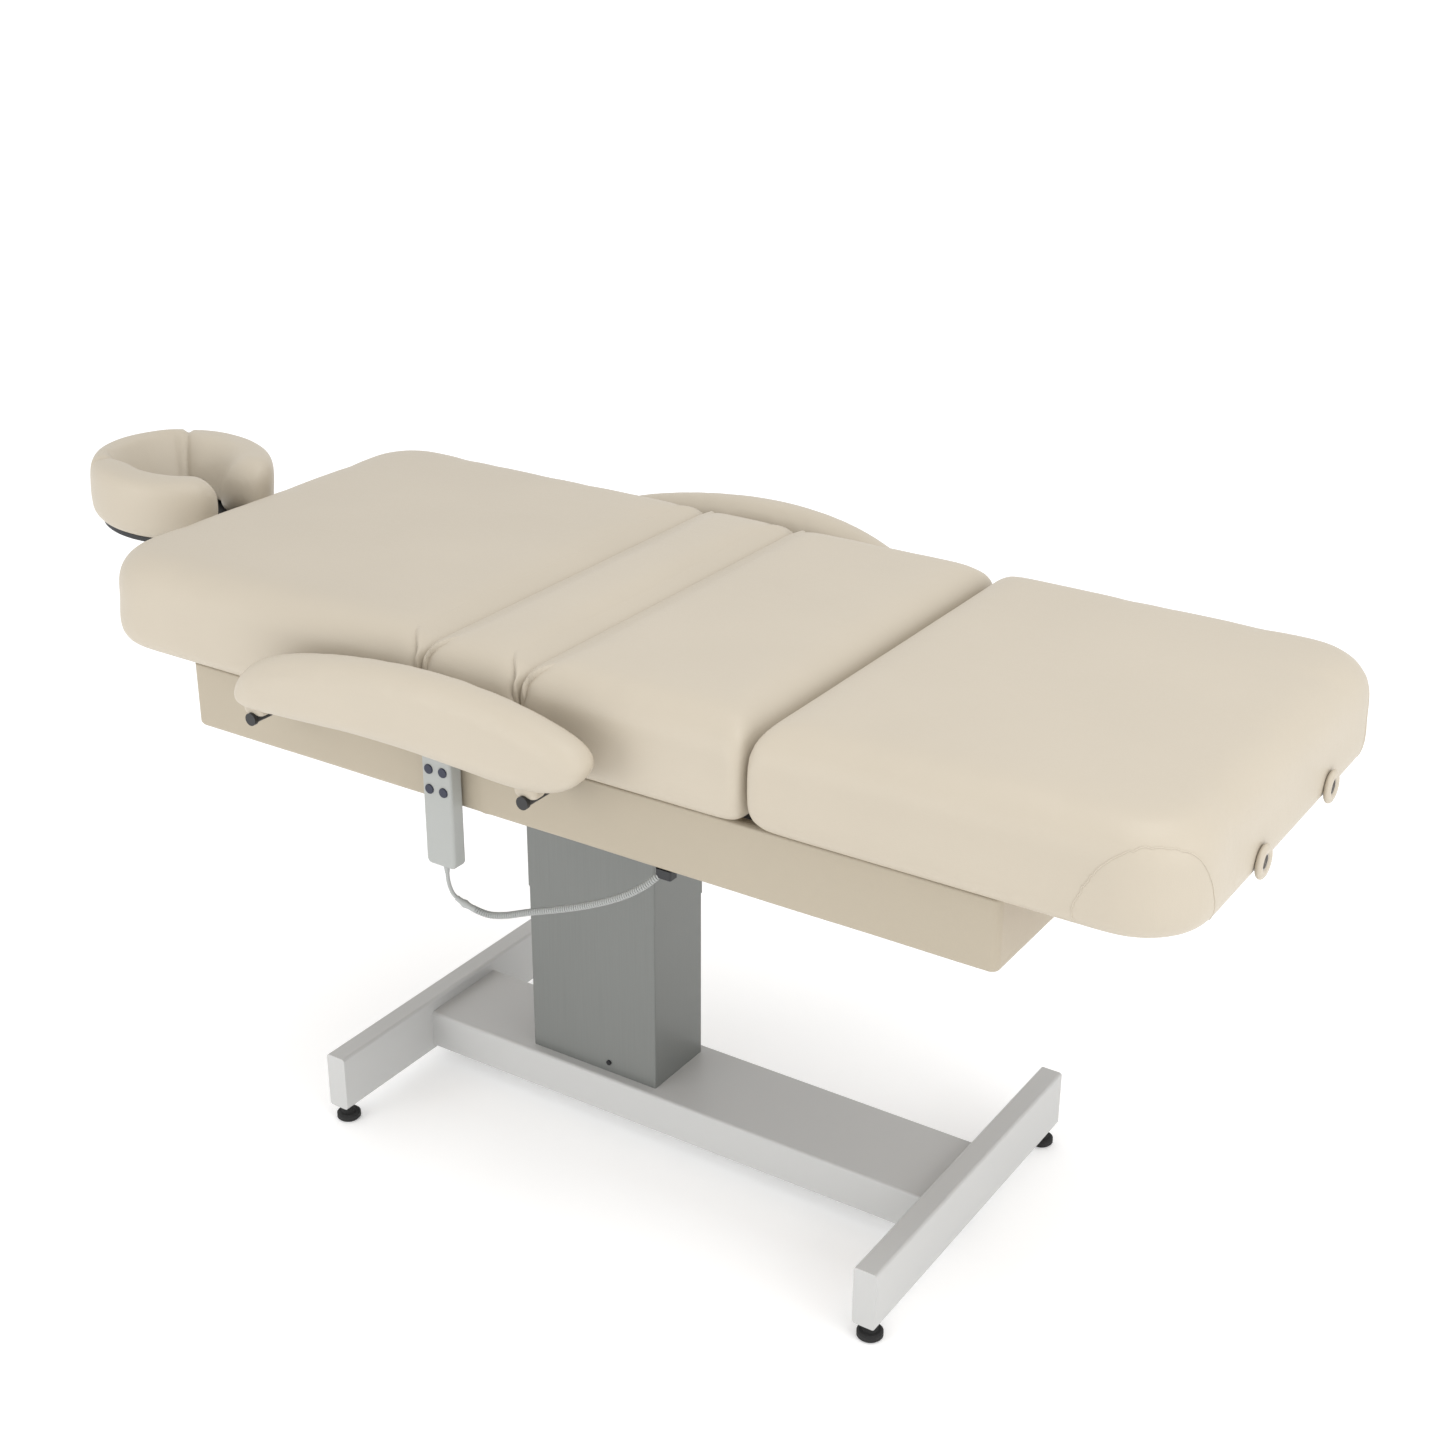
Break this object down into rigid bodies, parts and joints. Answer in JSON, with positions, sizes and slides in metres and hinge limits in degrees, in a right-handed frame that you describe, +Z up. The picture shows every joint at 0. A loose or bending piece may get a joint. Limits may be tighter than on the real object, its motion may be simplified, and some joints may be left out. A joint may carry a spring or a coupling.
{
  "type": "examination couch",
  "caption": "Padded treatment couch on an electric lift column, with a jointed top, arched armrests, a face cradle and a wired handset.",
  "frame": {"origin": "on the floor under the middle of the base", "axes": "+X along the couch towards the foot end, -Y the side with the handset, +Z up"},
  "size_m": [2.1796, 0.9658, 1.0043],
  "materials": {
    "cushion_vinyl": "smooth cream upholstery vinyl",
    "apron_vinyl": "cream vinyl over plywood",
    "board_plywood": "unfinished plywood",
    "base_paint": "light grey powder coat",
    "frame_paint": "black powder coat",
    "column_aluminium": "vertically brushed sheet",
    "profile_aluminium": "extruded profile, anodised",
    "bare_steel": "zinc plated",
    "dark_screw": "black oxide",
    "foot_rubber": "moulded black rubber",
    "cap_plastic": "black moulded cap",
    "black_plastic": "fine moulded grain",
    "handset_plastic": "light grey moulded shell",
    "button_rubber": "dark blue-black keys",
    "cord_grey": "grey cord jacket",
    "motor_grey": "moulded motor housing"
  },
  "bodies": {
    "base": {"base_bars": "base_paint", "base_beam": "base_paint", "levelling_feet": "foot_rubber", "column_base_plate": "bare_steel", "column_screws": "bare_steel", "cover_screws": "dark_screw", "lift_outer_profile": "profile_aluminium", "column_lower_cover": "column_aluminium", "lift_motor": "motor_grey", "lift_spindle": "bare_steel"},
    "lift_middle": {"lift_middle_profile": "profile_aluminium", "lift_nut_tube": "black_plastic"},
    "top_frame": {"lift_inner_profile": "profile_aluminium", "column_upper_cover": "column_aluminium", "lift_head_plate": "frame_paint", "frame_rails": "frame_paint", "frame_crossbars": "frame_paint", "apron_sides": "apron_vinyl", "apron_ends": "apron_vinyl", "control_box": "black_plastic", "mains_inlet": "black_plastic", "seat_cushion": "cushion_vinyl", "seat_board": "board_plywood", "hinge_arms": "frame_paint", "hinge_pins": "bare_steel", "armrest_sleeves": "frame_paint", "handset_shell": "handset_plastic", "handset_hook": "black_plastic", "handset_lead": "cord_grey", "curly_cord": "cord_grey", "cord_clip": "black_plastic"},
    "back_section": {"back_cushion": "cushion_vinyl", "back_board": "board_plywood", "back_brackets": "frame_paint", "head_sockets": "bare_steel"},
    "thigh_section": {"thigh_cushion": "cushion_vinyl", "thigh_board": "board_plywood", "thigh_brackets": "frame_paint", "knee_pins": "bare_steel"},
    "leg_section": {"leg_cushion": "cushion_vinyl", "leg_board": "board_plywood", "leg_knee_leaves": "bare_steel", "foot_sockets": "bare_steel"},
    "back_actuator": {"back_actuator_body": "motor_grey"},
    "back_rod": {"back_actuator_rod": "bare_steel"},
    "knee_spring": {"knee_spring_body": "motor_grey"},
    "knee_rod": {"knee_spring_rod": "bare_steel"},
    "near_armrest": {"near_arm_pad": "cushion_vinyl", "near_arm_frame": "frame_paint", "near_arm_caps": "cap_plastic"},
    "far_armrest": {"far_arm_pad": "cushion_vinyl", "far_arm_frame": "frame_paint", "far_arm_caps": "cap_plastic"},
    "cradle_slider": {"cradle_frame": "frame_paint"},
    "cradle_head": {"cradle_platform": "black_plastic", "cradle_cushion": "cushion_vinyl"},
    "key_back_up": {"button_back_up": "button_rubber"},
    "key_back_down": {"button_back_down": "button_rubber"},
    "key_height_up": {"button_height_up": "button_rubber"},
    "key_height_down": {"button_height_down": "button_rubber"}
  },
  "joints": [
    {"name": "lift_height", "type": "slide", "parent": "base", "child": "top_frame", "axis": [0, 0, 1], "range_m": [-0.28, 0]},
    {"name": "lift_middle_stage", "type": "slide", "parent": "base", "child": "lift_middle", "axis": [0, 0, 1], "range_m": [-0.14, 0]},
    {"name": "back_tilt", "type": "hinge", "parent": "top_frame", "child": "back_section", "pos_m": [-0.215, 0, 0.941], "axis": [0, 1, 0], "range_deg": [0, 60]},
    {"name": "thigh_tilt", "type": "hinge", "parent": "top_frame", "child": "thigh_section", "pos_m": [-0.038, 0, 0.941], "axis": [0, -1, 0], "range_deg": [0, 25]},
    {"name": "knee_fold", "type": "hinge", "parent": "thigh_section", "child": "leg_section", "pos_m": [0.33, 0, 0.802], "axis": [0, 1, 0], "range_deg": [0, 39]},
    {"name": "back_actuator_swing", "type": "hinge", "parent": "top_frame", "child": "back_actuator", "pos_m": [-0.294, 0, 0.716], "axis": [0, 1, 0], "range_deg": [0, 52]},
    {"name": "back_actuator_stroke", "type": "slide", "parent": "back_actuator", "child": "back_rod", "axis": [-0.9762, 0, 0.2169], "range_m": [0, 0.2382]},
    {"name": "knee_spring_swing", "type": "hinge", "parent": "top_frame", "child": "knee_spring", "pos_m": [-0.008, 0, 0.76], "axis": [0, -1, 0], "range_deg": [0, 24]},
    {"name": "knee_spring_stroke", "type": "slide", "parent": "knee_spring", "child": "knee_rod", "axis": [0.994, 0, 0.109], "range_m": [0, 0.0812]},
    {"name": "near_armrest_slide", "type": "slide", "parent": "top_frame", "child": "near_armrest", "axis": [0, -1, 0], "range_m": [0, 0.09]},
    {"name": "far_armrest_slide", "type": "slide", "parent": "top_frame", "child": "far_armrest", "axis": [0, 1, 0], "range_m": [0, 0.09]},
    {"name": "cradle_slide", "type": "slide", "parent": "back_section", "child": "cradle_slider", "axis": [-1, 0, 0], "range_m": [0, 0.1]},
    {"name": "cradle_tilt", "type": "hinge", "parent": "cradle_slider", "child": "cradle_head", "pos_m": [-0.992, 0, 0.864], "axis": [0, 1, 0], "range_deg": [-35, 6]},
    {"name": "back_up_press", "type": "slide", "parent": "top_frame", "child": "key_back_up", "axis": [0, 1, 0], "range_m": [0, 0.0012], "stiffness_N_per_m": 800, "springref_m": -0.0008},
    {"name": "back_down_press", "type": "slide", "parent": "top_frame", "child": "key_back_down", "axis": [0, 1, 0], "range_m": [0, 0.0012], "stiffness_N_per_m": 800, "springref_m": -0.0008},
    {"name": "height_up_press", "type": "slide", "parent": "top_frame", "child": "key_height_up", "axis": [0, 1, 0], "range_m": [0, 0.0012], "stiffness_N_per_m": 800, "springref_m": -0.0008},
    {"name": "height_down_press", "type": "slide", "parent": "top_frame", "child": "key_height_down", "axis": [0, 1, 0], "range_m": [0, 0.0012], "stiffness_N_per_m": 800, "springref_m": -0.0008}
  ],
  "couplings": [
    {"joint": "lift_middle_stage", "follows": "lift_height", "ratio": 0.5},
    {"joint": "knee_fold", "follows": "thigh_tilt", "ratio": 1.55},
    {"joint": "back_actuator_swing", "follows": "back_tilt", "ratio": 0.85},
    {"joint": "back_actuator_stroke", "follows": "back_tilt", "m_per_rad": 0.2256},
    {"joint": "knee_spring_swing", "follows": "thigh_tilt", "ratio": 0.92},
    {"joint": "knee_spring_stroke", "follows": "thigh_tilt", "m_per_rad": 0.18157}
  ]
}
